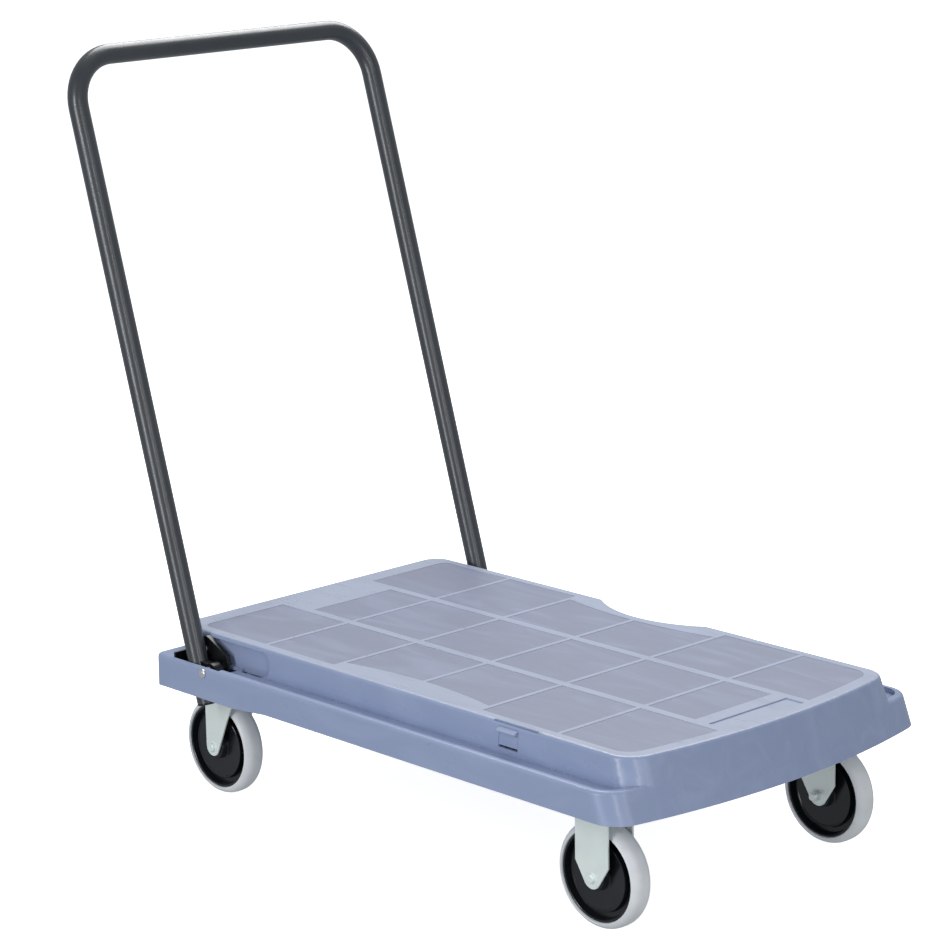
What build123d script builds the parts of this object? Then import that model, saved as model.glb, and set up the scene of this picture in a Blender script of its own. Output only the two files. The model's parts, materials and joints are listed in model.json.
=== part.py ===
from build123d import *
import os
from math import cos, radians, sin, sqrt, tan

os.makedirs("parts", exist_ok=True)

# Folding platform cart. +X runs from the handle end to the front, +Y is the left-hand side and +Z is up,
# with the floor at Z = 0. Lengths are millimetres. While it is modelled, X is measured from the deck's
# handle-end face; export_node moves every piece so that the origin is under the middle of the cart.

# Deck moulding
deck_length = 826.0            # handle-end face to the foremost point of the skirt
deck_width = 520.0             # across the bottom edge of the skirt
deck_height = 217.0            # floor to the load surface
top_width = 442.0              # across the load surface
shelf_height = 187.0           # floor to the rim of the skirt, at the foot of the raised top
channel_depth = 6.0            # the folded handle lies over a channel between the raised top and the rim
rim_width = 9.0
skirt_bottom = 151.0
skirt_bottom_rear = 146.0      # the skirt is deeper round the handle end
rear_skirt_length = 150.0
skirt_blend_length = 60.0
wall = 4.0
skirt_wall = 3.2
front_bow_radius = 1075.0
front_slope = 0.38             # how far the front face leans back for each millimetre of height
skirt_draft = 0.014
top_draft = 0.08
front_corner_radius = 36.0
top_corner_radius = 26.0
rear_corner_radius = 9.0
top_edge_radius = 5.0
skirt_edge_radius = 5.0
skirt_setback = 0.05           # the raised top's front face runs down just in front of the skirt's
rib_thickness = 3.2
pad_thickness = 8.0
notch_start, notch_end, notch_depth = 311.0, 490.0, 28.0   # hand scoop in the left edge of the top

# Panels in the load surface
panel_depth = 0.5
panel_start = 32.0
panel_pitch = 125.8
panel_gap = 6.0
panel_columns = 6
centre_row_half = 65.0
outer_row_inner, outer_row_outer = 77.0, 206.0
front_border = 18.0
panel_corner_radius = 16.0
waist_inset, waist_radius = 29.0, 574.0    # the third and fourth outer panels are curved in by this
blank_end = 80.0               # the centre row starts here, which leaves a plain area at the handle end
short_panel_end = 734.0
pocket_start, pocket_end, pocket_half = 755.0, 782.0, 66.0
pocket_depth = 1.6

# Handle
tube_diameter = 25.4
tube_wall = 1.6
leg_offset = 241.8             # centre line of each leg from the centre of the cart
handle_tilt = 16.3             # degrees back from upright
pivot_x, pivot_z = 94.0, 179.0
pivot_offset = 27.2            # pivot axis to the centre line of a leg
handle_reach = 774.0           # pivot to the centre line of the grip bar, measured along a leg
leg_tail = 38.0                # how far a leg runs on below the pivot
bend_radius = 63.5
plug_depth, plug_head = 16.0, 3.0
lug_thickness = 12.0
lug_radius = 10.0
lug_up, lug_down = 18.0, 12.0

# Pivot hardware
pin_diameter = 8.0
pin_head_diameter, pin_head_height = 11.5, 2.5
running_clearance = 0.05
side_clearance = 0.3
plate_thickness = 3.0
plate_gap = 1.1                # leg to bracket plate
button_diameter = 8.0
button_along = 27.0            # lock button above the pivot, measured along the leg
button_travel = 4.0
apex_z = 214.0                 # top of the bracket plate
apex_x = 63.0
plate_shoulder_x, plate_toe_x = 101.5, 105.0
lip_depth = 3.0                # inward edge along the front of the bracket plate
bay_start, bay_end = 33.0, 121.0           # opening in the shelf for the bracket and the leg
recess_end, recess_depth, recess_top = 178.0, 6.0, 212.0
recess_radius = 13.0
slot_width = 12.0              # the slot in the channel floor along the foot of the recess

# Snap tongues that hold the folded handle down
tongue_start, tongue_end = 579.0, 609.0
tongue_bottom, tongue_top = 190.4, 211.8
tongue_gap = 0.4
foot_gap = 3.0                 # slot below each tongue
tongue_thickness = 3.0
nose_out = 6.0                 # how far the nose stands out of the upper wall
nose_low, nose_high = 205.0, 211.4
groove_inner, groove_outer = 4.4, 0.9       # groove in the top edge above each tongue, from the side face
groove_depth = 4.6
groove_before, groove_after = 11.0, 30.0

# Wheels and casters
wheel_diameter = 125.0
tread_width = 30.0
rim_radius = 53.3
rim_half_width = 12.6
hub_length = 35.8
hub_radius = 15.0
bearing_radius = 10.0
axle_diameter = 8.0
track = 384.0                  # between the centres of the left and right wheels
front_axle_x = 714.0
rear_axle_x = 49.0
swivel_trail = 27.0
plate_length, plate_width, plate_gauge = 102.0, 64.0, 2.5
mount_height = 159.0           # floor to the top of a caster plate
bolt_spacing_x, bolt_spacing_y = 80.0, 46.0
bolt_diameter = 8.0
fork_gauge = 2.5
fork_leg_width = 51.0
fork_tip_radius = 13.0
rear_tip_radius = 11.5
v_height = 79.0                # where the sides of a fixed fork start to close in
crown_height = 141.0           # underside of the swivelling fork's crown
crown_radius = 33.0
neck_back, neck_front = 28.0, 17.0         # the swivelling fork's legs, either side of the swivel axis
neck_low = 126.0
kingpin_radius = 6.0
nut_height = 7.0
cup_radius, cup_bottom = 30.0, 148.6
ball_diameter, ball_count, ball_circle = 4.0, 16, 23.0

# Values worked out from the ones above
half_deck = deck_width / 2
channel_floor = shelf_height - channel_depth
half_top = top_width / 2
tube_radius = tube_diameter / 2
lean = radians(handle_tilt)
leg_dir = Vector(-sin(lean), 0, cos(lean))
leg_normal = Vector(cos(lean), 0, sin(lean))
pivot = Vector(pivot_x, 0, pivot_z)
leg_foot = pivot - leg_normal * pivot_offset
bar_centre = leg_foot + leg_dir * handle_reach
plate_outer = leg_offset - tube_radius - plate_gap       # face of the bracket plate that faces the leg
plate_inner = plate_outer - plate_thickness
skirt_inner = half_deck - (shelf_height - skirt_bottom_rear) * skirt_draft - skirt_wall
swivel_x = rear_axle_x + swivel_trail
axle_z = wheel_diameter / 2
wheel_y = track / 2
rear_pad_bottom = mount_height + plate_gauge             # the bracket's flange lies on the rear caster plate
fork_inner = hub_length / 2 + 0.6
fork_outer = fork_inner + fork_gauge
mid_x = ((bar_centre.X - tube_radius) + deck_length) / 2


def export_node(name, shape):
    export_step(Pos(-mid_x, 0, 0) * shape, f"parts/{name}.step")


def front_at(z):
    return deck_length - (z - skirt_bottom) * front_slope


def outline(z, half_width, inset, front_radius, rear_radius, setback=0.0):
    """One horizontal section of the moulding, with a bowed front and rounded corners."""
    w = half_width - inset
    front = front_at(z) - inset - setback
    side_end = front - (front_bow_radius - sqrt(front_bow_radius**2 - w**2))
    edges = [
        Line((inset, -w), (side_end, -w)),
        ThreePointArc((side_end, -w), (front, 0), (side_end, w)),
        Line((side_end, w), (inset, w)),
        Line((inset, w), (inset, -w)),
    ]
    face = make_face(edges)
    face = fillet(face.vertices().group_by(Axis.X)[-1], max(front_radius - inset, 2))
    face = fillet(face.vertices().group_by(Axis.X)[0], max(rear_radius - inset, 2))
    return Pos(0, 0, z) * face


def skirt_section(z, inset=0.0):
    half_width = half_deck - (z - skirt_bottom_rear) * skirt_draft
    return outline(z, half_width, inset, front_corner_radius, rear_corner_radius, skirt_setback)


def top_section(z, inset=0.0):
    half_width = half_top + (deck_height - z) * top_draft
    return outline(z, half_width, inset, front_corner_radius, top_corner_radius)


def block(x0, x1, y0, y1, z0, z1):
    return Pos((x0 + x1) / 2, (y0 + y1) / 2, (z0 + z1) / 2) * Box(x1 - x0, y1 - y0, z1 - z0)


def side_block(side, x0, x1, y0, y1, z0, z1):
    """A box at distances y0 to y1 from the centre plane, on the side given by +1 or -1."""
    low, high = sorted((side * y0, side * y1))
    return block(x0, x1, low, high, z0, z1)


def rod(side, x, z, y0, y1, radius):
    """A round bar along Y at distances y0 to y1 from the centre plane."""
    return Pos(x, side * (y0 + y1) / 2, z) * Rot(90, 0, 0) * Cylinder(radius, abs(y1 - y0))


def profile_plate(side, points, y0, y1):
    """A plate cut to an outline of (x, z) points, from y0 to y1 from the centre plane."""
    face = make_face(Polyline(*[(x, 0, z) for x, z in points], close=True))
    face = Pos(0, side * min(y0, y1), 0) * face
    return extrude(face, amount=abs(y1 - y0), dir=(0, side, 0))


def make_deck():
    """The hollow plastic platform: skirt, raised top, ribs, caster pads and every opening in them."""
    ceiling = deck_height - wall
    shelf_under = channel_floor - wall
    skirt = loft([skirt_section(skirt_bottom_rear), skirt_section(shelf_height)])
    rim = skirt.edges().filter_by_position(Axis.Z, shelf_height - 0.1, shelf_height + 0.1)
    skirt = fillet(rim, skirt_edge_radius)
    channel = loft([skirt_section(channel_floor, rim_width), skirt_section(shelf_height + 1, rim_width)])
    skirt -= channel & block(bay_start, deck_length, -half_deck, half_deck, channel_floor - 1, deck_height)
    raised = loft([top_section(skirt_bottom), top_section(deck_height)])
    body = skirt + raised - notch_cylinder(0, shelf_height, deck_height + 1)
    body = fillet(body.edges().filter_by_position(Axis.Z, deck_height - 0.1, deck_height + 0.1), top_edge_radius)
    hollow = loft([skirt_section(skirt_bottom_rear - 1, skirt_wall), skirt_section(shelf_under, skirt_wall)])
    hollow += loft([top_section(skirt_bottom_rear, wall), top_section(ceiling, wall)])
    hollow -= notch_cylinder(wall, shelf_under, deck_height + 1)
    body -= hollow
    body += make_ribs(ceiling) & loft([top_section(skirt_bottom_rear, 1), top_section(ceiling + 1, 1)])
    for side in (-1, 1):
        body += side_block(side, bay_start - wall, recess_end + wall, half_top - recess_depth - wall,
                           half_top - 1, shelf_under, ceiling + 0.5)
    body -= make_lower_cuts()
    for side in (-1, 1):
        body -= make_side_cuts(side)
    return body - make_panels() - notch_cylinder(0, shelf_height, deck_height + 1)


def notch_cylinder(extra, low, high):
    """The round cut that makes the hand scoop in the left edge, grown by a wall thickness if asked."""
    half = (notch_end - notch_start) / 2
    radius = (half**2 + notch_depth**2) / (2 * notch_depth)
    centre_y = half_top - notch_depth + radius
    place = Pos((notch_start + notch_end) / 2, centre_y, (low + high) / 2)
    return place * Cylinder(radius + extra, high - low)


def make_ribs(ceiling):
    """Stiffening ribs below the load surface, which line up with the gaps between the panels."""
    ribs = []
    for y in (0, 36, outer_row_inner - panel_gap, 140):
        for side in (-1, 1) if y else (1,):
            length_z = (mount_height + pad_thickness, ceiling + 1)
            ribs.append(block(1, deck_length, side * y - rib_thickness / 2, side * y + rib_thickness / 2, *length_z))
    for column in range(1, panel_columns):
        x = panel_start + column * panel_pitch - panel_gap / 2
        ribs.append(block(x - rib_thickness / 2, x + rib_thickness / 2, -half_deck, half_deck,
                          mount_height + pad_thickness, ceiling + 1))
    for x, z in ((swivel_x, rear_pad_bottom), (front_axle_x, mount_height)):
        for side in (-1, 1):
            outer = plate_inner - side_clearance
            pad = side_block(side, x - plate_length / 2 - 3, x + plate_length / 2 + 3,
                             wheel_y - plate_width / 2 - 3, min(wheel_y + plate_width / 2 + 3, outer),
                             z, z + pad_thickness)
            web_x = (x - plate_length / 2, x + plate_length / 2)
            for rib_x in web_x:
                pad += side_block(side, rib_x - rib_thickness / 2, rib_x + rib_thickness / 2, 36,
                                  outer, z + pad_thickness, ceiling + 1)
            ribs.append(pad)
    joined = ribs[0]
    for rib in ribs[1:]:
        joined += rib
    return joined


def make_lower_cuts():
    """Everything taken away from below: the shallower skirt and the caster bolt holes."""
    start = rear_skirt_length
    points = [(start, skirt_bottom_rear - 1), (start, skirt_bottom_rear),
              (start + skirt_blend_length, skirt_bottom), (deck_length + 5, skirt_bottom),
              (deck_length + 5, skirt_bottom_rear - 1)]
    cut = profile_plate(1, points, -half_deck - 1, half_deck + 1)
    for x in (swivel_x, front_axle_x):
        for side in (-1, 1):
            for bolt in bolt_places(x, side):
                cut += bolt * Pos(0, 0, mount_height) * Cylinder(bolt_diameter / 2 + 0.1, 30)
    return cut


def make_side_cuts(side):
    """The bracket bay, finger recess, pivot hole and snap-tongue window of one long side."""
    recess_y = half_top - recess_depth
    cut = side_block(side, bay_start, bay_end, plate_inner - side_clearance, skirt_inner,
                     skirt_bottom_rear - 2, deck_height + 1)
    cut += side_block(side, bay_start, bay_end, plate_inner - 5.5, plate_inner, rear_pad_bottom, shelf_height + 1)
    reach = upper_wall(shelf_height) + 1
    recess = side_block(side, bay_start, recess_end, recess_y, reach, channel_floor, recess_top)
    far_edges = recess.edges().filter_by(Axis.Y).group_by(Axis.X)[-1]
    cut += fillet(far_edges, recess_radius)
    cut += side_block(side, bay_end - 1, recess_end - recess_radius, recess_y, recess_y + slot_width,
                      channel_floor - wall - 1, channel_floor + 1)
    cut += rod(side, pivot_x, pivot_z, recess_y, half_deck + 1, pin_diameter / 2 + running_clearance)
    window = (tongue_start - tongue_gap, tongue_end + tongue_gap)
    cut += side_block(side, *window, half_top - 8, half_top + 6, tongue_bottom - foot_gap, tongue_top + tongue_gap)
    groove = side_block(side, tongue_start - groove_before, tongue_end + groove_after, half_top - groove_inner,
                        half_top - groove_outer, deck_height - groove_depth, deck_height + 1)
    return cut + fillet(groove.edges().filter_by(Axis.Z), (groove_inner - groove_outer) * 0.45)


def upper_wall(z):
    """Distance of the outer face of the raised top's side wall from the centre plane."""
    return half_top + (deck_height - z) * top_draft


def panel_ranges():
    """The X range of each column of panels."""
    for column in range(panel_columns):
        start = panel_start + column * panel_pitch
        yield column, start, start + panel_pitch - panel_gap


def make_panels():
    """The shallow panels, which leave the ribs, the border and the plain strips standing."""
    floor = deck_height - panel_depth
    front_edge = front_at(deck_height) - front_border
    drop = outer_row_outer**2 / (2 * front_bow_radius)
    sketches = []
    for column, start, end in panel_ranges():
        centre_start = blank_end if column == 0 else start
        centre_end = short_panel_end if column == panel_columns - 1 else end
        sketches.append(rectangle_face(centre_start, centre_end, -centre_row_half, centre_row_half))
        for side in (-1, 1):
            last = column == panel_columns - 1
            face = rectangle_face(start, front_edge if last else end, side * outer_row_inner, side * outer_row_outer)
            if last:
                face = face & (Pos(front_edge - front_bow_radius, 0, 0) * Circle(front_bow_radius))
                face = round_outer_corner(face, side, front_edge - drop, panel_corner_radius * 1.6)
            elif column == 0:
                face = round_outer_corner(face, side, start, panel_corner_radius * 0.7)
            elif column in (2, 3):
                waist_x = panel_start + 3 * panel_pitch - panel_gap / 2
                waist_y = outer_row_outer - waist_inset + waist_radius
                face = face - Pos(waist_x, side * waist_y, 0) * Circle(waist_radius)
            sketches.append(face)
    cut = None
    for face in sketches:
        solid = extrude(Pos(0, 0, floor) * face, amount=panel_depth + 1, dir=(0, 0, 1))
        cut = solid if cut is None else cut + solid
    pocket = rectangle_face(pocket_start, pocket_end, -pocket_half, pocket_half)
    cut += extrude(Pos(0, 0, deck_height - pocket_depth) * pocket, amount=pocket_depth + 1, dir=(0, 0, 1))
    return cut


def rectangle_face(x0, x1, y0, y1):
    return Pos((x0 + x1) / 2, (y0 + y1) / 2) * Rectangle(abs(x1 - x0), abs(y1 - y0))


def round_outer_corner(face, side, x, radius):
    corner = face.vertices().sort_by(lambda v: abs(v.X - x) + abs(v.Y - side * outer_row_outer))[0]
    return fillet(corner, radius)


def bolt_places(x, side):
    """The four bolt positions of the caster whose plate is centred on x."""
    return [Pos(x + dx, side * wheel_y + dy, 0)
            for dx in (-bolt_spacing_x / 2, bolt_spacing_x / 2)
            for dy in (-bolt_spacing_y / 2, bolt_spacing_y / 2)]


def make_bracket(side):
    """The pressed steel bracket: flange over the caster plate, upright plate and the web behind the leg."""
    flange = side_block(side, swivel_x - plate_length / 2, swivel_x + plate_length / 2,
                        wheel_y - plate_width / 2, plate_outer, mount_height, rear_pad_bottom)
    for bolt in bolt_places(swivel_x, side):
        flange -= bolt * Pos(0, 0, mount_height) * Cylinder(bolt_diameter / 2 + 0.1, 20)
    rear = bay_start + side_clearance
    front = swivel_x + plate_length / 2 - side_clearance
    points = [(rear, mount_height), (rear, 193), (rear + 10, 198), (apex_x - 6, apex_z - 2), (apex_x, apex_z),
              (apex_x + 6, apex_z - 2), (plate_shoulder_x, 196), (plate_toe_x, 184), (plate_toe_x, mount_height),
              (front - 30, mount_height)]
    upright = profile_plate(side, points, plate_inner, plate_outer)
    web = side_block(side, rear, rear + plate_gauge, plate_inner, skirt_inner - side_clearance,
                     rear_pad_bottom, 193)
    lip_points = [(apex_x, apex_z), (apex_x + 6, apex_z - 2), (plate_shoulder_x, 196), (plate_toe_x, 184),
                  (plate_toe_x - 2.4, 184), (plate_shoulder_x - 2.2, 195), (apex_x + 5, apex_z - 4.2), (apex_x, apex_z - 2.4)]
    lip = profile_plate(side, lip_points, plate_inner - lip_depth, plate_inner)
    body = flange + upright + web + lip + leg_stop(side)
    body -= rod(side, pivot_x, pivot_z, plate_inner - 1, plate_outer + 1, pin_diameter / 2 + running_clearance)
    button = leg_foot + leg_dir * button_along
    body -= rod(side, button.X, button.Z, plate_inner - 1, plate_outer + 1, button_diameter / 2 + 0.6)
    slot_x = button.X + 10.5
    body -= side_block(side, slot_x - 1.4, slot_x + 1.4, plate_inner - 1, plate_outer + 1, 193, 206)
    return body


def leg_stop(side):
    """The tab in front of the lower end of a leg, which the upright leg leans on."""
    near, far = tube_radius + side_clearance, tube_radius + side_clearance + plate_thickness
    parts = []
    for high, width in ((-16, leg_offset + tube_radius - 0.5), (-10, plate_outer)):
        corners = [leg_foot + leg_dir * along + leg_normal * out
                   for along, out in ((-28, near), (high, near), (high, far), (-28, far))]
        parts.append(profile_plate(side, [(corner.X, corner.Z) for corner in corners], plate_inner, width))
    return parts[0] + parts[1]


def make_pivot_pin(side):
    head = rod(side, pivot_x, pivot_z, half_deck - 0.2, half_deck + pin_head_height, pin_head_diameter / 2)
    rim = head.edges().filter_by(GeomType.CIRCLE).sort_by(lambda edge: abs(edge.center().Y))[-1]
    shank = rod(side, pivot_x, pivot_z, plate_inner - 5, half_deck, pin_diameter / 2)
    shank -= ring_shape(side, plate_inner - 3.2, plate_inner - 2, pin_diameter / 2 - 1, pin_diameter)
    return fillet(rim, pin_head_height * 0.7) + shank


def ring_shape(side, y0, y1, inner, outer):
    """A flat ring round the pivot axis."""
    return rod(side, pivot_x, pivot_z, y0, y1, outer) - rod(side, pivot_x, pivot_z, y0 - 1, y1 + 1, inner)


def make_spacers(side):
    """The two spacer sleeves that keep the lug central on its pin."""
    inner = pin_diameter / 2 + running_clearance
    lug_in, lug_out = leg_offset - lug_thickness / 2, leg_offset + lug_thickness / 2
    near = ring_shape(side, plate_outer + 0.05, lug_in - side_clearance, inner, inner + 2.5)
    far = ring_shape(side, lug_out + side_clearance, skirt_inner - 0.1, inner, inner + 2.5)
    return Compound([near, far])


def make_tongue(side):
    """A sprung tongue, standing in a window of the upper wall, with a nose over the folded leg."""
    points = [(upper_wall(tongue_bottom) - tongue_thickness, tongue_bottom), (upper_wall(tongue_bottom), tongue_bottom),
              (upper_wall(nose_low), nose_low), (upper_wall(nose_low) + nose_out, nose_low + 2),
              (upper_wall(nose_low) + nose_out, nose_low + 3.5), (upper_wall(nose_high), nose_high),
              (upper_wall(tongue_top), tongue_top), (upper_wall(tongue_top) - tongue_thickness, tongue_top)]
    face = make_face(Polyline(*[(tongue_start, side * y, z) for y, z in points], close=True))
    return extrude(face, amount=tongue_end - tongue_start, dir=(1, 0, 0))


leg_frame = Plane(origin=leg_foot, x_dir=(0, 1, 0), z_dir=leg_normal)    # local x = +Y, local y = up the leg


def make_tube():
    """The one bent tube that makes both legs and the grip bar."""
    corners = [(-leg_offset, -leg_tail), (-leg_offset, handle_reach), (leg_offset, handle_reach),
               (leg_offset, -leg_tail)]
    path = FilletPolyline(*corners, radius=bend_radius)
    start = Plane(origin=(-leg_offset, -leg_tail, 0), z_dir=(0, 1, 0))
    ring = Circle(tube_radius) - Circle(tube_radius - tube_wall)
    tube = leg_frame * sweep(start * ring, path=path)
    for side in (-1, 1):
        button = leg_foot + leg_dir * button_along
        tube -= rod(side, button.X, button.Z, leg_offset - tube_radius - 2, leg_offset - tube_radius / 2,
                    button_diameter / 2 + 0.1)
    return tube


def leg_cylinder(side, radius, low, high):
    """A cylinder on the centre line of a leg, between two distances along the leg."""
    place = leg_frame * Pos(side * leg_offset, (low + high) / 2, 0) * Rot(90, 0, 0)
    return place * Cylinder(radius, high - low)


def make_lug(side):
    """The steel ear welded to the front of a leg, which turns on the pivot pin."""
    y0, y1 = leg_offset - lug_thickness / 2, leg_offset + lug_thickness / 2
    low = leg_foot - leg_dir * lug_down
    high = leg_foot + leg_dir * lug_up
    tip = pivot + leg_dir * (lug_radius * 0.6) + leg_normal * (lug_radius * 0.55)
    points = [(low.X, low.Z), (high.X, high.Z), (tip.X, tip.Z), (pivot.X, pivot.Z)]
    under = pivot - leg_dir * (lug_radius - 1) - leg_normal * 4
    points.append((under.X, under.Z))
    body = profile_plate(side, points, y0, y1) + rod(side, pivot_x, pivot_z, y0, y1, lug_radius)
    body -= leg_cylinder(side, tube_radius, -leg_tail - 5, lug_up + 40)
    body -= rod(side, pivot_x, pivot_z, y0 - 1, y1 + 1, pin_diameter / 2 + running_clearance)
    return body.solids().sort_by(SortBy.VOLUME)[-1]


def make_plug(side):
    """The black plastic plug in the lower end of a leg."""
    head = leg_cylinder(side, tube_radius, -leg_tail - plug_head, -leg_tail)
    rim = head.edges().filter_by(GeomType.CIRCLE).sort_by(Axis.Z)[0]
    return fillet(rim, plug_head * 0.6) + leg_cylinder(side, tube_radius - tube_wall, -leg_tail, plug_depth - leg_tail)


def make_button(side):
    """The sprung button that locks a leg upright: its tip stands level with the bracket plate's face."""
    button = leg_foot + leg_dir * button_along
    tip = plate_outer + 0.3
    body = rod(side, button.X, button.Z, tip, leg_offset - button_travel - 1.4, button_diameter / 2)
    flange_y = leg_offset - tube_radius + tube_wall + 1.5
    return body + rod(side, button.X, button.Z, flange_y, flange_y + 1.4, button_diameter / 2 + 1)


def make_button_spring(side):
    """The flat spring inside a leg that pushes the lock button out."""
    depth = 2 * (tube_radius - tube_wall) - 4
    start = -depth / 2 + 8
    points = [(start, button_along - 5), (start, button_along + 5), (depth / 2 - 2, button_along + 34),
              (depth / 2, button_along + 34), (depth / 2, button_along - 20), (depth / 2 - 1.2, button_along - 20),
              (depth / 2 - 1.2, button_along + 30), (start + 1.2, button_along + 4.4), (start + 1.2, button_along - 5)]
    face = make_face(Polyline(*[(side * (leg_offset + u), v, -3) for u, v in points], close=True))
    return leg_frame * extrude(face, amount=6, dir=(0, 0, 1))


def caster_plate(x, side):
    plate = side_block(side, x - plate_length / 2, x + plate_length / 2, wheel_y - plate_width / 2,
                       wheel_y + plate_width / 2, mount_height - plate_gauge, mount_height)
    plate = fillet(plate.edges().filter_by(Axis.Z), 6)
    for bolt in bolt_places(x, side):
        plate -= bolt * Pos(0, 0, mount_height) * Cylinder(bolt_diameter / 2 + 0.1, 20)
    return plate


def make_caster_bolts(x, side):
    """Four hexagon bolts, from below, through the plate and into the deck's pad."""
    low = mount_height - plate_gauge
    bolts = []
    for place in bolt_places(x, side):
        head = place * Pos(0, 0, low - 4.5) * extrude(RegularPolygon(6.5, 6), amount=4.5)
        shank = place * Pos(0, 0, low) * extrude(Circle(bolt_diameter / 2), amount=12)
        bolts.append(head + shank)
    return Compound(bolts)


def fork_legs(side, points):
    """Both legs of a fork, cut to one outline of (x, z) points."""
    legs = None
    for direction in (-1, 1):
        near = wheel_y + direction * fork_inner
        far = wheel_y + direction * fork_outer
        leg = profile_plate(side, points, near, far)
        legs = leg if legs is None else legs + leg
    return legs


def tip_points(x, radius, start, end):
    """Points round the lower end of a fork leg, between two angles in degrees."""
    angles = [radians(start + (end - start) * step / 10) for step in range(11)]
    return [(x + radius * cos(angle), axle_z + radius * sin(angle)) for angle in angles]


def make_fixed_fork(side):
    x = front_axle_x
    top = mount_height - plate_gauge
    half = fork_leg_width / 2
    crown = side_block(side, x - half, x + half, wheel_y - fork_outer, wheel_y + fork_outer, top - fork_gauge, top)
    points = [(x - half, top - 1), (x - half, v_height)]
    points += tip_points(x, fork_tip_radius, 205, 335)
    points += [(x + half, v_height), (x + half, top - 1)]
    return crown + fork_legs(side, points) - axle_hole(x, side)


def make_swivel_fork(side):
    """The trailing rear fork: narrow under the crown, so that it turns clear of the end of the leg."""
    top = crown_height + fork_gauge
    crown = Pos(swivel_x, side * wheel_y, top - fork_gauge / 2) * Cylinder(crown_radius, fork_gauge)
    crown += side_block(side, swivel_x - neck_back, swivel_x + neck_front, wheel_y - fork_outer,
                        wheel_y + fork_outer, crown_height, top)
    crown -= Pos(swivel_x, side * wheel_y, top) * Cylinder(kingpin_radius + running_clearance, 20)
    tail_x = rear_axle_x - rear_tip_radius
    points = [(swivel_x - neck_back, top - 1), (swivel_x - neck_back, neck_low), (tail_x, neck_low - 10)]
    points += tip_points(rear_axle_x, rear_tip_radius, 180, 330)
    points += [(swivel_x + neck_front, crown_height - 6), (swivel_x + neck_front, top - 1)]
    return crown + fork_legs(side, points) - axle_hole(rear_axle_x, side)


def axle_hole(x, side):
    return rod(side, x, axle_z, wheel_y - 40, wheel_y + 40, axle_diameter / 2 + 0.1)


def make_swivel_plate(side):
    """The rear caster plate with the pressed cup that runs on the ring of balls."""
    cup = Pos(swivel_x, side * wheel_y, (cup_bottom + mount_height - plate_gauge) / 2)
    cup_height = mount_height - plate_gauge - cup_bottom
    ring = cup * (Cylinder(cup_radius, cup_height) - Cylinder(cup_radius - 12, cup_height + 2))
    body = caster_plate(swivel_x, side) + ring
    return body - Pos(swivel_x, side * wheel_y, mount_height) * Cylinder(kingpin_radius + 0.05, 30)


def make_kingpin(side):
    place = Pos(swivel_x, side * wheel_y, 0)
    shank_low, shank_high = crown_height - 3.5, mount_height
    shank = place * Pos(0, 0, (shank_low + shank_high) / 2) * Cylinder(kingpin_radius, shank_high - shank_low)
    head = place * Pos(0, 0, crown_height - 0.3 - 2.2) * Cylinder(kingpin_radius + 4, 4.4)
    return shank + fillet(head.edges().group_by(Axis.Z)[0], 2)


def make_balls(side):
    """The ring of steel balls between the cup and the fork's crown."""
    z = (cup_bottom + crown_height + fork_gauge) / 2
    places = PolarLocations(ball_circle, ball_count)
    return Compound([Pos(swivel_x, side * wheel_y, z) * spot * Sphere(ball_diameter / 2) for spot in places])


def make_axle_bolt(x, side):
    """The wheel bolt: round head on the outer side of the fork, shank through both legs."""
    outer = wheel_y + fork_outer
    shank_end = wheel_y - fork_outer - nut_height - 4
    head = rod(side, x, axle_z, outer, outer + 4, axle_diameter * 0.72)
    rim = head.edges().filter_by(GeomType.CIRCLE).sort_by(lambda edge: abs(edge.center().Y))[-1]
    return fillet(rim, 1.6) + rod(side, x, axle_z, shank_end, outer, axle_diameter / 2)


def make_axle_nut(x, side):
    y1 = wheel_y - fork_outer
    y0 = y1 - nut_height
    face = Plane(origin=(x, side * y0, axle_z), z_dir=(0, side, 0)) * RegularPolygon(axle_diameter * 0.87, 6)
    nut = extrude(face, amount=nut_height, dir=(0, side, 0))
    return nut - rod(side, x, axle_z, y0 - 1, y1 + 1, axle_diameter / 2)


def turned(x, side, half_profile):
    """A wheel part turned about the axle from (radius, half width) points of one side."""
    points = [(r, -w) for r, w in half_profile] + [(r, w) for r, w in reversed(half_profile)]
    face = make_face(Polyline(*points, close=True))
    solid = revolve(face, Axis.Y)
    return Pos(x, side * wheel_y, axle_z) * solid


def make_core(x, side):
    hub = hub_length / 2
    profile = [(bearing_radius, hub), (hub_radius - 1, hub), (hub_radius, hub - 1), (hub_radius + 1, 8.6),
               (41.0, 8.0), (41.8, 11.4), (43.6, 11.4), (44.6, 3.6), (49.8, 3.6), (50.8, rim_half_width),
               (rim_radius, rim_half_width)]
    return turned(x, side, profile)


def make_tyre(x, side):
    radius, half = wheel_diameter / 2, tread_width / 2
    shoulder = Line((rim_radius, rim_half_width + 0.4), (rim_radius + 1.2, half - 0.6))
    cheek = ThreePointArc((rim_radius + 1.2, half - 0.6), (rim_radius + 4.6, half - 0.4), (radius - 1.4, half - 5))
    tread = ThreePointArc((radius - 1.4, half - 5), (radius, 0), (radius - 1.4, 5 - half))
    cheek_back = ThreePointArc((radius - 1.4, 5 - half), (rim_radius + 4.6, 0.4 - half), (rim_radius + 1.2, 0.6 - half))
    shoulder_back = Line((rim_radius + 1.2, 0.6 - half), (rim_radius, -rim_half_width - 0.4))
    bore = Line((rim_radius, -rim_half_width - 0.4), (rim_radius, rim_half_width + 0.4))
    face = make_face([shoulder, cheek, tread, cheek_back, shoulder_back, bore])
    return Pos(x, side * wheel_y, axle_z) * revolve(face, Axis.Y)


def make_bearing(x, side):
    half = hub_length / 2 + 0.3
    ring = rod(side, x, axle_z, wheel_y - half, wheel_y + half, bearing_radius)
    return ring - rod(side, x, axle_z, wheel_y - half - 1, wheel_y + half + 1, axle_diameter / 2 + running_clearance)


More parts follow.
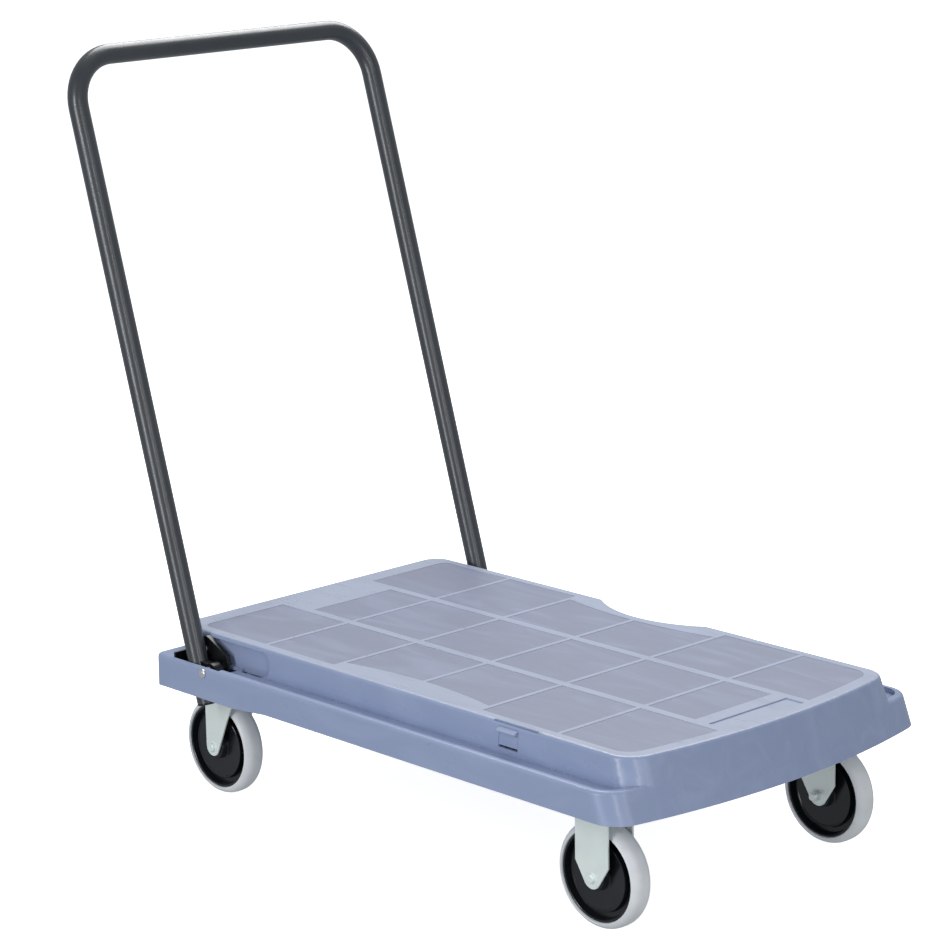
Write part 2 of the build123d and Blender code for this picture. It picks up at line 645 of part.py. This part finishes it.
export_node("deck_shell", make_deck())
export_node("handle_tube", make_tube())
for name, side in (("left", 1), ("right", -1)):
    export_node(f"pivot_bracket_{name}", make_bracket(side))
    export_node(f"pivot_pin_{name}", make_pivot_pin(side))
    export_node(f"pivot_spacers_{name}", make_spacers(side))
    clip = ring_shape(side, plate_inner - 3.1, plate_inner - 2.1, pin_diameter / 2 - 0.9, pin_diameter / 2 + 3)
    export_node(f"pin_clip_{name}", clip)
    export_node(f"snap_tongue_{name}", make_tongue(side))
    export_node(f"pivot_lug_{name}", make_lug(side))
    export_node(f"leg_plug_{name}", make_plug(side))
    export_node(f"lock_button_{name}", make_button(side))
    export_node(f"lock_spring_{name}", make_button_spring(side))
    export_node(f"fixed_plate_{name}", caster_plate(front_axle_x, side))
    export_node(f"fixed_fork_{name}", make_fixed_fork(side))
    export_node(f"swivel_plate_{name}", make_swivel_plate(side))
    export_node(f"swivel_fork_{name}", make_swivel_fork(side))
    export_node(f"kingpin_{name}", make_kingpin(side))
    export_node(f"swivel_balls_{name}", make_balls(side))
    for end, x, plate_x in (("front", front_axle_x, front_axle_x), ("rear", rear_axle_x, swivel_x)):
        export_node(f"caster_bolts_{end}_{name}", make_caster_bolts(plate_x, side))
        export_node(f"axle_bolt_{end}_{name}", make_axle_bolt(x, side))
        export_node(f"axle_nut_{end}_{name}", make_axle_nut(x, side))
        export_node(f"wheel_core_{end}_{name}", make_core(x, side))
        export_node(f"tyre_{end}_{name}", make_tyre(x, side))
        export_node(f"wheel_bearing_{end}_{name}", make_bearing(x, side))
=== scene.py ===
import bpy
import json
import math
from mathutils import Matrix, Vector


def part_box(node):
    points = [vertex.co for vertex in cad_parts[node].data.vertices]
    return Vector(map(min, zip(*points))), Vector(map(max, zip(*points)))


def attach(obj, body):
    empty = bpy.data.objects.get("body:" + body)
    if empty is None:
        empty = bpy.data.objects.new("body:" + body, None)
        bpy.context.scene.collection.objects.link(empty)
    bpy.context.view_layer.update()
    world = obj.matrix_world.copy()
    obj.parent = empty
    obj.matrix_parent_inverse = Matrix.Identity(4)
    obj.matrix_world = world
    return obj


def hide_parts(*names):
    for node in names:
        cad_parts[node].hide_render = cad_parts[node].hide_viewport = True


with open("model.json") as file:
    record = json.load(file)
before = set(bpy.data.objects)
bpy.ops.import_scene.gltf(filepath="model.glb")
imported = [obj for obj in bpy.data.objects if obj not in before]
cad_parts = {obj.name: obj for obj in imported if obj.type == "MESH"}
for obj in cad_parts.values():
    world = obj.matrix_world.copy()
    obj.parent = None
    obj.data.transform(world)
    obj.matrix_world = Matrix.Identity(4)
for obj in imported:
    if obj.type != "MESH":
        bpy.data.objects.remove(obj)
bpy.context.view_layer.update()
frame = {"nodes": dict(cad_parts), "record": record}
mm = 0.001
print("frame loaded:", len(frame["nodes"]), "nodes")


# selecting, finishing and copying pieces

def clearSelection():
    if bpy.context.object and bpy.context.object.mode != "OBJECT":
        bpy.ops.object.mode_set(mode="OBJECT")
    bpy.ops.object.select_all(action="DESELECT")


def pickOnly(piece):
    clearSelection()
    piece.select_set(True)
    bpy.context.view_layer.objects.active = piece


def editFaces(piece, test):
    pickOnly(piece)
    bpy.ops.object.mode_set(mode="EDIT")
    bpy.ops.mesh.select_mode(type="FACE")
    bpy.ops.mesh.select_all(action="DESELECT")
    bpy.ops.object.mode_set(mode="OBJECT")
    for face in piece.data.polygons:
        face.select = test(face)
    bpy.ops.object.mode_set(mode="EDIT")


def editEdges(piece, test):
    pickOnly(piece)
    bpy.ops.object.mode_set(mode="EDIT")
    bpy.ops.mesh.select_mode(type="EDGE")
    bpy.ops.mesh.select_all(action="DESELECT")
    bpy.ops.object.mode_set(mode="OBJECT")
    points = piece.data.vertices
    for edge in piece.data.edges:
        edge.select = test(points[edge.vertices[0]].co, points[edge.vertices[1]].co)
    bpy.ops.object.mode_set(mode="EDIT")


def settle(piece, angle=35):
    pickOnly(piece)
    bpy.ops.object.transform_apply(location=True, rotation=True, scale=True)
    bpy.ops.object.shade_smooth_by_angle(angle=math.radians(angle))
    # weighted normals keep large faces flat beside small bevels
    flat = piece.modifiers.new("flatFaces", "WEIGHTED_NORMAL")
    flat.keep_sharp = True
    bpy.ops.object.modifier_apply(modifier=flat.name)


def copyOfNode(node, name):
    # a working copy of a CAD piece, with its loose triangles joined
    source = frame["nodes"][node]
    piece = bpy.data.objects.new(name, source.data.copy())
    piece.data.name = name
    bpy.context.scene.collection.objects.link(piece)
    pickOnly(piece)
    bpy.ops.object.mode_set(mode="EDIT")
    bpy.ops.mesh.select_all(action="SELECT")
    bpy.ops.mesh.remove_doubles(threshold=0.00002)
    bpy.ops.mesh.dissolve_limited(angle_limit=math.radians(0.4))
    bpy.ops.object.mode_set(mode="OBJECT")
    return piece


def standFor(piece, node, material):
    piece.data.materials.clear()
    piece.data.materials.append(material)
    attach(piece, bodyOf[node])
    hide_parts(node)


def bevelledCopy(node, name, width, material, segments=2):
    piece = copyOfNode(node, name)
    pickOnly(piece)
    edge = piece.modifiers.new("softEdges", "BEVEL")
    edge.width = width
    edge.segments = segments
    edge.limit_method = "ANGLE"
    edge.angle_limit = math.radians(35)
    bpy.ops.object.modifier_apply(modifier=edge.name)
    settle(piece)
    standFor(piece, node, material)
    return piece


bodyOf = {node: body for body, nodes in frame["record"]["behaviour"]["bodies"].items() for node in nodes}


class Nodes:
    # a short way to add and join shader nodes
    def __init__(self, name):
        self.material = bpy.data.materials.new(name)
        self.material.use_nodes = True
        self.tree = self.material.node_tree
        self.shader = self.tree.nodes["Principled BSDF"]
        self.column = 0

    def add(self, kind, **settings):
        node = self.tree.nodes.new(kind)
        self.column += 1
        node.location = (-260 * (self.column % 8) - 200, 260 - 300 * (self.column // 8))
        for key, value in settings.items():
            setattr(node, key, value)
        return node

    def join(self, a, b):
        self.tree.links.new(a, b)

    def objectPoint(self):
        return self.add("ShaderNodeTexCoord").outputs["Object"]

    def noise(self, scale, detail=4, stretch=(1, 1, 1), turn=(0, 0, 0), distortion=0.0):
        place = self.add("ShaderNodeMapping")
        place.inputs["Scale"].default_value = stretch
        place.inputs["Rotation"].default_value = turn
        self.join(self.objectPoint(), place.inputs["Vector"])
        grain = self.add("ShaderNodeTexNoise")
        grain.inputs["Scale"].default_value = scale
        grain.inputs["Detail"].default_value = detail
        grain.inputs["Distortion"].default_value = distortion
        self.join(place.outputs["Vector"], grain.inputs["Vector"])
        return grain.outputs["Fac"]

    def spread(self, value, low, high, outLow=0.0, outHigh=1.0, smooth=True):
        ranger = self.add("ShaderNodeMapRange", interpolation_type="SMOOTHSTEP" if smooth else "LINEAR")
        ranger.inputs["From Min"].default_value = low
        ranger.inputs["From Max"].default_value = high
        ranger.inputs["To Min"].default_value = outLow
        ranger.inputs["To Max"].default_value = outHigh
        self.join(value, ranger.inputs["Value"])
        return ranger.outputs["Result"]

    def math(self, operation, a, b):
        node = self.add("ShaderNodeMath", operation=operation)
        for socket, value in zip(node.inputs, (a, b)):
            if isinstance(value, (int, float)):
                socket.default_value = value
            else:
                self.join(value, socket)
        return node.outputs[0]

    def blendColours(self, amount, a, b):
        node = self.add("ShaderNodeMix", data_type="RGBA")
        self.join(amount, node.inputs[0])
        for socket, value in ((node.inputs[6], a), (node.inputs[7], b)):
            if isinstance(value, tuple):
                socket.default_value = (*value, 1)
            else:
                self.join(value, socket)
        return node.outputs[2]

    def bump(self, height, strength, distance):
        node = self.add("ShaderNodeBump")
        node.inputs["Strength"].default_value = strength
        node.inputs["Distance"].default_value = distance
        self.join(height, node.inputs["Height"])
        self.join(node.outputs["Normal"], self.shader.inputs["Normal"])


# moulded deck plastic: flow streaks, slightly darker, matter panels, and painted light and shade: the top
# lighter, the faces below it darker
# side is the rib plastic painted darker and bluer, as painted shade on the faces below the top
deckLook = dict(rib=(0.42, 0.46, 0.585), panel=(0.247, 0.264, 0.366), side=(0.280, 0.336, 0.505),
                pale=(0.42, 0.48, 0.66), dark=(0.20, 0.25, 0.44), roughness=0.31, panelRoughness=0.46,
                panelFloor=216.5 * mm, topLow=216.1 * mm, pocketLow=215 * mm)


def makeDeckPlastic():
    n = Nodes("deckPlastic")
    split = n.add("ShaderNodeSeparateXYZ")
    n.join(n.objectPoint(), split.inputs[0])
    facing = n.add("ShaderNodeSeparateXYZ")
    geometry = n.add("ShaderNodeNewGeometry")
    n.join(geometry.outputs["Normal"], facing.inputs[0])
    upward = n.spread(facing.outputs["Z"], 0.93, 0.985)
    floor = deckLook["panelFloor"]
    sunk = n.spread(split.outputs["Z"], floor + 0.1 * mm, floor + 0.4 * mm, 1.0, 0.0)
    near = n.spread(split.outputs["Z"], floor - 0.5 * mm, floor - 0.2 * mm)
    panel = n.math("MULTIPLY", n.math("MULTIPLY", upward, sunk), near)
    crest = n.spread(split.outputs["Z"], deckLook["topLow"], deckLook["topLow"] + 0.3 * mm)
    pocket = n.math("MULTIPLY", upward, n.spread(split.outputs["Z"], deckLook["pocketLow"],
                                                 deckLook["pocketLow"] + 0.3 * mm))
    top = n.math("MAXIMUM", crest, pocket)
    # painted shade: every face below the top takes the darker side colour, and the top takes the lighter rib
    # colour
    litTopShadedSides = n.blendColours(top, deckLook["side"], deckLook["rib"])
    base = n.blendColours(panel, litTopShadedSides, deckLook["panel"])
    streaks = n.noise(5.0, 7, stretch=(1.0, 4.5, 4.0), turn=(0, 0, 0.6), distortion=1.6)
    wisps = n.noise(9.0, 4, stretch=(0.8, 3.5, 1.5), turn=(0.3, 0, -0.5), distortion=1.4)
    pale = n.math("MULTIPLY", n.spread(streaks, 0.42, 0.72), 0.22)
    base = n.blendColours(pale, base, deckLook["pale"])
    dark = n.math("MULTIPLY", n.spread(wisps, 0.50, 0.78), 0.14)
    base = n.blendColours(dark, base, deckLook["dark"])
    n.join(base, n.shader.inputs["Base Color"])
    rough = n.spread(wisps, 0.3, 0.7, deckLook["roughness"] - 0.05, deckLook["roughness"] + 0.06)
    matter = n.math("MULTIPLY", panel, deckLook["panelRoughness"] - deckLook["roughness"])
    rough = n.math("ADD", rough, matter)
    n.join(rough, n.shader.inputs["Roughness"])
    fine = n.noise(700.0, 3)
    broad = n.noise(30.0, 3)
    height = n.math("ADD", n.math("MULTIPLY", fine, 0.25), broad)
    n.bump(height, 0.12, 0.0006)
    n.shader.inputs["Specular IOR Level"].default_value = 0.5
    return n.material


def makePaint(name, colour, roughness, coat=0.0, grain=900.0, bump=0.04):
    n = Nodes(name)
    cloud = n.noise(14.0, 4)
    paler = tuple(c * 1.35 + 0.002 for c in colour)
    n.join(n.blendColours(n.spread(cloud, 0.35, 0.7), colour, paler), n.shader.inputs["Base Color"])
    worn = n.spread(n.noise(45.0, 4), 0.3, 0.7, roughness - 0.05, roughness + 0.06)
    n.join(worn, n.shader.inputs["Roughness"])
    n.bump(n.noise(grain, 2), bump, 0.0003)
    n.shader.inputs["Coat Weight"].default_value = coat
    n.shader.inputs["Coat Roughness"].default_value = 0.28
    return n.material


def makeMetal(name, colour, tint, roughness, brushed=(1, 1, 0.06), metallic=1.0):
    n = Nodes(name)
    cloud = n.noise(22.0, 5, distortion=0.8)
    n.join(n.blendColours(n.spread(cloud, 0.35, 0.7), colour, tint), n.shader.inputs["Base Color"])
    worn = n.spread(n.noise(60.0, 5), 0.3, 0.7, roughness - 0.07, roughness + 0.09)
    n.join(worn, n.shader.inputs["Roughness"])
    n.bump(n.noise(420.0, 3, stretch=brushed), 0.10, 0.0002)
    n.shader.inputs["Metallic"].default_value = metallic
    return n.material


def makeTread():
    n = Nodes("treadRubber")
    cloud = n.noise(18.0, 5, distortion=1.0)
    n.join(n.blendColours(n.spread(cloud, 0.35, 0.7), (0.69, 0.70, 0.73), (0.76, 0.77, 0.79)),
           n.shader.inputs["Base Color"])
    n.join(n.spread(n.noise(70.0, 5), 0.3, 0.7, 0.36, 0.50), n.shader.inputs["Roughness"])
    n.bump(n.noise(500.0, 3), 0.10, 0.0003)
    n.shader.inputs["Subsurface Weight"].default_value = 0.08
    n.shader.inputs["Subsurface Radius"].default_value = (0.004, 0.004, 0.004)
    return n.material


deckPlastic = makeDeckPlastic()
looks = {
    "deck_plastic": deckPlastic,
    "black_tube": makePaint("powderCoat", (0.014, 0.018, 0.024), 0.42, coat=1.0),
    "black_steel": makePaint("blackSteel", (0.004, 0.004, 0.005), 0.30, coat=0.15),
    "black_plastic": makePaint("blackPlastic", (0.005, 0.006, 0.008), 0.24),
    "zinc": makeMetal("zincPlate", (0.84, 0.91, 0.885), (0.88, 0.935, 0.90), 0.40, metallic=0.35),
    "bright_steel": makeMetal("brightSteel", (0.82, 0.82, 0.83), (0.74, 0.75, 0.77), 0.22,
                              brushed=(1, 1, 1)),
    "spring_steel": makeMetal("springSteel", (0.45, 0.45, 0.47), (0.36, 0.37, 0.4), 0.32),
    "tread": makeTread(),
}
for entry in frame["record"]["subparts"]:
    node = frame["nodes"][entry["node"]]
    node.data.materials.clear()
    node.data.materials.append(looks[entry["material_slot"]])
print("materials made:", len(looks))


deckShape = dict(channelRadius=8 * mm, channelFloor=181 * mm, wallLow=219 * mm, wallHigh=226 * mm,
                 rimRadius=2.2 * mm, rimHeight=187 * mm, rimInner=250 * mm)


def makeDeck():
    d = deckShape
    piece = copyOfNode("deck_shell", "deckMoulding")

    def rimEdge(a, b):
        if (a - b).length < 20 * mm:
            return False
        return all(abs(p.z - d["rimHeight"]) < 0.1 * mm and abs(abs(p.y) - d["rimInner"]) < 0.3 * mm
                   for p in (a, b))

    def channelCorner(a, b):
        if abs(a.z - d["channelFloor"]) > 0.3 * mm or abs(b.z - d["channelFloor"]) > 0.3 * mm:
            return False
        if abs(a.y) > d["wallHigh"] or abs(b.y) > d["wallHigh"] or (a - b).length < 20 * mm:
            return False
        return min(abs(a.y), abs(b.y)) > d["wallLow"]
    editEdges(piece, channelCorner)
    bpy.ops.mesh.bevel(offset=d["channelRadius"], segments=5, profile=0.5, clamp_overlap=True)
    bpy.ops.object.mode_set(mode="OBJECT")
    editEdges(piece, rimEdge)
    bpy.ops.mesh.bevel(offset=d["rimRadius"], segments=3, profile=0.5, clamp_overlap=True)
    bpy.ops.object.mode_set(mode="OBJECT")
    settle(piece, 28)
    standFor(piece, "deck_shell", deckPlastic)
    print("deck:", len(piece.data.polygons), "faces")
    return piece


# painted shade: black sheets inside the hollow deck stand in for its shadowed inside
slotShadeLook = dict(behind=9 * mm, thickness=1.2 * mm, margin=18 * mm, drop=22 * mm)


def makeSlotShadeSheet(side):
    # a black sheet inside the hollow deck behind a snap tongue, as painted shade: it closes the slot below
    # the tongue to view, so the slot reads dark
    look = slotShadeLook
    low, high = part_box(f"snap_tongue_{side}")
    sign = 1 if side == "left" else -1
    inner = min(abs(low.y), abs(high.y)) - look["behind"]
    clearSelection()
    bpy.ops.mesh.primitive_cube_add(size=1, location=((low.x + high.x) / 2, sign * inner,
                                                      (low.z + high.z - look["drop"]) / 2))
    piece = bpy.context.object
    piece.name = f"tongueShield_{side}"
    piece.data.name = piece.name
    piece.scale = (high.x - low.x + 2 * look["margin"], look["thickness"], high.z - low.z + look["drop"])
    settle(piece)
    piece.data.materials.append(looks["black_plastic"])
    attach(piece, bodyOf["deck_shell"])


makeDeck()
for side in ("left", "right"):
    bevelledCopy(f"snap_tongue_{side}", f"snapTongue_{side}", 0.5 * mm, deckPlastic)
    makeSlotShadeSheet(side)


# (radius, half width) in mm, from the middle of the tread inwards
tyreProfile = [(62.5, 2.5), (62.2, 5.5), (61.4, 8.2), (60.1, 10.6), (58.3, 12.6), (56.2, 14.0), (54.6, 14.6),
               (53.9, 14.4), (53.5, 13.4), (53.35, 12.2)]
coreProfile = [(53.25, 12.2), (52.9, 12.55), (51.6, 12.6), (50.8, 12.1), (49.6, 5.0), (48.8, 3.9),
               (43.4, 3.7), (42.6, 4.6), (41.6, 10.4), (41.0, 10.9), (39.9, 10.8), (39.2, 10.0),
               (18.5, 9.2), (17.0, 9.9), (16.2, 13.0), (15.2, 17.0), (14.6, 17.7), (10.1, 17.8)]


def turnedPiece(name, profile, bore):
    # a disc along Y whose two ends are inset step by step, then joined through the middle
    first = profile[0]
    bpy.ops.mesh.primitive_cylinder_add(vertices=144, radius=first[0] * mm, depth=2 * first[1] * mm,
                                        location=(0, 0, 0), rotation=(math.pi / 2, 0, 0),
                                        end_fill_type="NGON")
    piece = bpy.context.object
    piece.name = name
    piece.data.name = name
    pickOnly(piece)
    bpy.ops.object.transform_apply(location=True, rotation=True, scale=True)
    editFaces(piece, lambda face: len(face.vertices) > 4)
    for (r0, w0), (r1, w1) in zip(profile, profile[1:]):
        bpy.ops.mesh.inset(thickness=max(r0 - r1, 0.01) * mm, depth=(w1 - w0) * mm, use_individual=True)
    if bore:
        bpy.ops.mesh.bridge_edge_loops()
    bpy.ops.mesh.select_all(action="SELECT")
    bpy.ops.mesh.normals_make_consistent(inside=False)
    bpy.ops.object.mode_set(mode="OBJECT")
    return piece


def placeCopies(model, pattern, material, angle=30):
    for end in ("front", "rear"):
        for side in ("left", "right"):
            node = pattern.format(end=end, side=side)
            low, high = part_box(node)
            piece = bpy.data.objects.new(f"{model.name}_{end}_{side}", model.data.copy())
            bpy.context.scene.collection.objects.link(piece)
            piece.location = (low + high) / 2
            settle(piece, angle)
            standFor(piece, node, material)
    bpy.data.objects.remove(model)


clearSelection()
placeCopies(turnedPiece("wheelTyre", tyreProfile, True), "tyre_{end}_{side}", looks["tread"])
clearSelection()
placeCopies(turnedPiece("wheelCore", coreProfile, True), "wheel_core_{end}_{side}", looks["black_plastic"])
print("wheels made")


# pressed, cast and turned steel pieces get softened edges, with the widths in mm
casterSteel = [("fixed_fork", "fixedFork", 0.7), ("swivel_fork", "swivelFork", 0.7),
               ("fixed_plate", "fixedPlate", 0.5), ("swivel_plate", "swivelPlate", 0.5)]
for side in ("left", "right"):
    for node, name, width in casterSteel:
        bevelledCopy(f"{node}_{side}", f"{name}_{side}", width * mm, looks["zinc"])
    bevelledCopy(f"pivot_bracket_{side}", f"pivotBracket_{side}", 0.7 * mm, looks["black_steel"])
    bevelledCopy(f"pivot_lug_{side}", f"pivotLug_{side}", 0.8 * mm, looks["black_steel"])
    for end in ("front", "rear"):
        bevelledCopy(f"axle_nut_{end}_{side}", f"wheelNut_{end}_{side}", 0.5 * mm, looks["bright_steel"])
        bevelledCopy(f"caster_bolts_{end}_{side}", f"plateBolts_{end}_{side}", 0.5 * mm, looks["zinc"])
print("casters made")


studio = dict(floorSize=30.0, floorColour=(0.93, 0.93, 0.93), floorGlow=0.80, worldStrength=0.42,
              worldColour=(0.90, 0.96, 1.0, 1))
view = dict(azimuth=46.6, elevation=13.583, roll=-0.946, distance=3.88645, aim=(0.0039, -0.0231, 0.427),
            lens=122.197)


def makeFloor():
    clearSelection()
    bpy.ops.mesh.primitive_plane_add(size=studio["floorSize"], location=(0, 0, 0))
    floor = bpy.context.object
    floor.name = "studioFloor"
    n = Nodes("floorPaint")
    cloud = n.noise(3.0, 3)
    n.join(n.blendColours(cloud, studio["floorColour"], (0.95, 0.95, 0.95)), n.shader.inputs["Base Color"])
    n.shader.inputs["Roughness"].default_value = 0.9
    n.shader.inputs["Specular IOR Level"].default_value = 0.1
    n.shader.inputs["Emission Color"].default_value = (1, 1, 1, 1)
    n.shader.inputs["Emission Strength"].default_value = studio["floorGlow"]
    floor.data.materials.append(n.material)
    floor.visible_diffuse = False
    floor.visible_glossy = False


lights = {
    "topSoftbox": dict(place=(-1.1, 1.4, 2.7), aim=(0, 0, 0.2), size=(2.2, 2.2), power=66, colour=(1, 1, 1)),
    "leftStrip": dict(place=(0.1, -3.2, 1.2), aim=(0, 0, 0.45), size=(0.55, 2.6), power=45,
                      colour=(0.98, 0.99, 1.0)),
    "middleStrip": dict(place=(2.6, -1.5, 1.3), aim=(-0.2, 0, 0.5), size=(0.24, 2.4), power=16,
                        colour=(1, 1, 1)),
    "rightStrip": dict(place=(3.3, -0.2, 1.0), aim=(0, 0, 0.45), size=(0.16, 2.2), power=11,
                       colour=(1, 1, 1)),
}


def makeLight(name, place, aim, size, power, colour):
    data = bpy.data.lights.new(name, "AREA")
    data.shape = "RECTANGLE"
    data.size, data.size_y = size
    data.energy = power
    data.color = colour
    light = bpy.data.objects.new(name, data)
    bpy.context.scene.collection.objects.link(light)
    light.location = place
    light.rotation_euler = (Vector(aim) - Vector(place)).to_track_quat("-Z", "Y").to_euler()


def makeCamera():
    azimuth, elevation, roll = (math.radians(view[key]) for key in ("azimuth", "elevation", "roll"))
    back = Vector((math.sin(azimuth) * math.cos(elevation), -math.cos(azimuth) * math.cos(elevation),
                   math.sin(elevation)))
    right = Vector((math.cos(azimuth), math.sin(azimuth), 0))
    up = back.cross(right)
    x = right * math.cos(roll) + up * math.sin(roll)
    y = up * math.cos(roll) - right * math.sin(roll)
    data = bpy.data.cameras.new("camera")
    data.sensor_width = 36
    data.lens = view["lens"]
    data.clip_end = 100
    camera = bpy.data.objects.new("camera", data)
    bpy.context.scene.collection.objects.link(camera)
    place = Vector(view["aim"]) + back * view["distance"]
    camera.matrix_world = Matrix(((x.x, y.x, back.x, place.x), (x.y, y.y, back.y, place.y),
                                  (x.z, y.z, back.z, place.z), (0, 0, 0, 1)))
    bpy.context.scene.camera = camera


makeFloor()
world = bpy.data.worlds.new("softRoom")
bpy.context.scene.world = world
world.use_nodes = True
world.node_tree.nodes["Background"].inputs["Color"].default_value = studio["worldColour"]
world.node_tree.nodes["Background"].inputs["Strength"].default_value = studio["worldStrength"]
for name, light in lights.items():
    makeLight(name, light["place"], light["aim"], light["size"], light["power"], light["colour"])
makeCamera()
bpy.context.scene.view_settings.view_transform = "Standard"
print("studio made")
